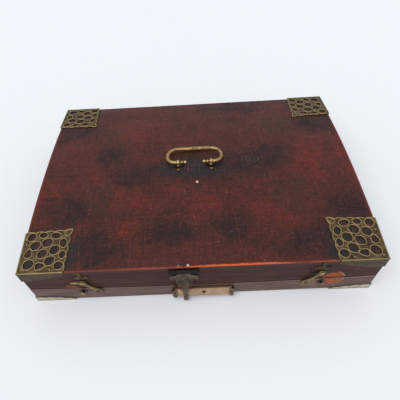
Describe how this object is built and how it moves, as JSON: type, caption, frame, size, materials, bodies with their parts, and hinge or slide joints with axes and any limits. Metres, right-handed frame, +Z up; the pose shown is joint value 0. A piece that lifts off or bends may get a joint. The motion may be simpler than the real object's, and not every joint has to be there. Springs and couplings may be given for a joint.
{
  "type": "writing case",
  "caption": "Flat wooden writing case with a crowned hinged lid, pierced brass corners, bail handle, hasp, two hooks and a leather strap handle.",
  "frame": {"origin": "middle of the footprint, on the surface that the case stands on", "axes": "+Z up, +X to the right along the long side, front with the hasp towards -Y"},
  "size_m": [0.402, 0.3146, 0.0818],
  "materials": {
    "lacquered_wood": "worn dark red lacquer over an orange-brown hardwood",
    "felt_lining": "thin dark red cloth lining",
    "dark_brass": "tarnished olive-brown sheet brass with brighter rubbed rims",
    "golden_brass": "rubbed golden brass, dark in the hollows",
    "blackened_iron": "wrought iron, dark grey-brown with rubbed edges",
    "tan_leather": "worn tan leather, dull",
    "steel_fastener": "dull steel nails and pins"
  },
  "bodies": {
    "base": {"base_panel": "lacquered_wood", "base_front_wall": "lacquered_wood", "base_back_wall": "lacquered_wood", "base_left_wall": "lacquered_wood", "base_right_wall": "lacquered_wood", "base_lining": "felt_lining", "base_corner_front_left": "dark_brass", "base_corner_front_right": "dark_brass", "base_corner_back_left": "dark_brass", "base_corner_back_right": "dark_brass", "latch_catch_left": "blackened_iron", "latch_catch_right": "blackened_iron", "handle_strap": "tan_leather", "handle_clasp_left": "dark_brass", "handle_clasp_right": "dark_brass", "handle_studs": "steel_fastener", "base_hinge_leaf_left": "dark_brass", "base_hinge_leaf_right": "dark_brass", "hinge_pin_left": "steel_fastener", "hinge_pin_right": "steel_fastener", "base_hinge_nails": "steel_fastener"},
    "lid": {"lid_panel": "lacquered_wood", "lid_front_wall": "lacquered_wood", "lid_back_wall": "lacquered_wood", "lid_left_wall": "lacquered_wood", "lid_right_wall": "lacquered_wood", "lid_lining": "felt_lining", "lid_corner_front_left": "dark_brass", "lid_corner_front_right": "dark_brass", "lid_corner_back_left": "dark_brass", "lid_corner_back_right": "dark_brass", "bail_post_left": "golden_brass", "bail_post_right": "golden_brass", "bail_rose_left": "golden_brass", "bail_rose_right": "golden_brass", "bail_stud": "golden_brass", "hasp_plate": "blackened_iron", "hasp_pin": "steel_fastener", "hasp_nails": "steel_fastener", "latch_plate_left": "blackened_iron", "latch_plate_right": "blackened_iron", "lid_hinge_leaf_left": "dark_brass", "lid_hinge_leaf_right": "dark_brass", "lid_hinge_nails": "steel_fastener"},
    "bail": {"bail_handle": "golden_brass"},
    "hasp_flap": {"hasp": "blackened_iron"},
    "hook_left": {"latch_hook_left": "blackened_iron"},
    "hook_right": {"latch_hook_right": "blackened_iron"}
  },
  "joints": [
    {"name": "lid_hinge", "type": "hinge", "parent": "base", "child": "lid", "pos_m": [0, 0.1523, 0.03015], "axis": [-1, 0, 0], "range_deg": [0, 150]},
    {"name": "bail_hinge", "type": "hinge", "parent": "lid", "child": "bail", "pos_m": [-0.001, 0, 0.0785], "axis": [1, 0, 0], "range_deg": [0, 183]},
    {"name": "hasp_hinge", "type": "hinge", "parent": "lid", "child": "hasp_flap", "pos_m": [-0.0183, -0.1517, 0.06], "axis": [-1, 0, 0], "range_deg": [0, 160]},
    {"name": "hook_left_pivot", "type": "hinge", "parent": "lid", "child": "hook_left", "pos_m": [-0.134, -0.15135, 0.0434], "axis": [0, 1, 0], "range_deg": [-60, 47]},
    {"name": "hook_right_pivot", "type": "hinge", "parent": "lid", "child": "hook_right", "pos_m": [0.134, -0.15135, 0.0434], "axis": [0, -1, 0], "range_deg": [-60, 47]}
  ]
}
